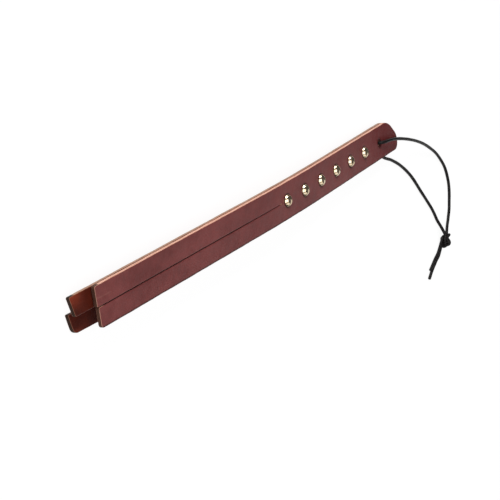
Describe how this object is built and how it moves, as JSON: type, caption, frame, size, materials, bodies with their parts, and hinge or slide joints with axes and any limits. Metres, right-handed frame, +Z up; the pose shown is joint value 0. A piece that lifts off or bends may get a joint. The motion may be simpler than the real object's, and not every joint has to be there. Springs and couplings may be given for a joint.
{
  "type": "split-tail leather strap",
  "caption": "Flat two-ply leather strap, riveted at the handle, slit into long flexible tails, with a round cord hanging loop tied through the rounded handle end.",
  "frame": {"origin": "middle of the strap's bounding box, on the surface it lies on", "axes": "+X towards the rounded handle end, +Y across the strap, +Z up out of the face that carries the rivet caps"},
  "size_m": [0.5526, 0.1477, 0.0185],
  "materials": {
    "top_leather": "waxed",
    "bottom_leather": "waxed",
    "rivet_brass": "polished",
    "cord": "waxed"
  },
  "bodies": {
    "handle": {"top_ply_handle": "top_leather", "bottom_ply_handle": "bottom_leather", "rivet_2_cap": "rivet_brass", "rivet_2_base": "rivet_brass", "rivet_3_cap": "rivet_brass", "rivet_3_base": "rivet_brass", "rivet_4_cap": "rivet_brass", "rivet_4_base": "rivet_brass", "rivet_5_cap": "rivet_brass", "rivet_5_base": "rivet_brass", "rivet_6_cap": "rivet_brass", "rivet_6_base": "rivet_brass", "cord_over_leg": "cord", "cord_under_leg": "cord", "cord_knot": "cord", "cord_end_1": "cord", "cord_end_2": "cord"},
    "throat": {"top_ply_throat": "top_leather", "bottom_ply_throat": "bottom_leather", "rivet_1_cap": "rivet_brass", "rivet_1_base": "rivet_brass"},
    "top_tail_a": {"top_tail_a": "top_leather"},
    "top_tail_b": {"top_tail_b": "top_leather"},
    "bottom_tail_a": {"bottom_tail_a": "bottom_leather"},
    "bottom_tail_b": {"bottom_tail_b": "bottom_leather"}
  },
  "joints": [
    {"name": "strap_flex", "type": "hinge", "parent": "handle", "child": "throat", "pos_m": [0.03653, 0, 0.01301], "axis": [0, 1, 0], "range_deg": [-15, 15], "stiffness_Nm_per_rad": 0.9, "springref_deg": -2.75},
    {"name": "top_tail_a_lift", "type": "hinge", "parent": "throat", "child": "top_tail_a", "pos_m": [0.00799, 0, 0.01492], "axis": [0, 1, 0], "range_deg": [0, 35], "stiffness_Nm_per_rad": 0.12},
    {"name": "top_tail_b_lift", "type": "hinge", "parent": "throat", "child": "top_tail_b", "pos_m": [0.00799, 0, 0.01492], "axis": [0, 1, 0], "range_deg": [0, 35], "stiffness_Nm_per_rad": 0.12},
    {"name": "bottom_tail_a_drop", "type": "hinge", "parent": "throat", "child": "bottom_tail_a", "pos_m": [0.00798, 0, 0.01182], "axis": [0, -1, 0], "range_deg": [0, 35], "stiffness_Nm_per_rad": 0.12, "springref_deg": -9.17},
    {"name": "bottom_tail_b_drop", "type": "hinge", "parent": "throat", "child": "bottom_tail_b", "pos_m": [0.00798, 0, 0.01182], "axis": [0, -1, 0], "range_deg": [-1.9, 35], "stiffness_Nm_per_rad": 0.12, "springref_deg": -4.58}
  ]
}
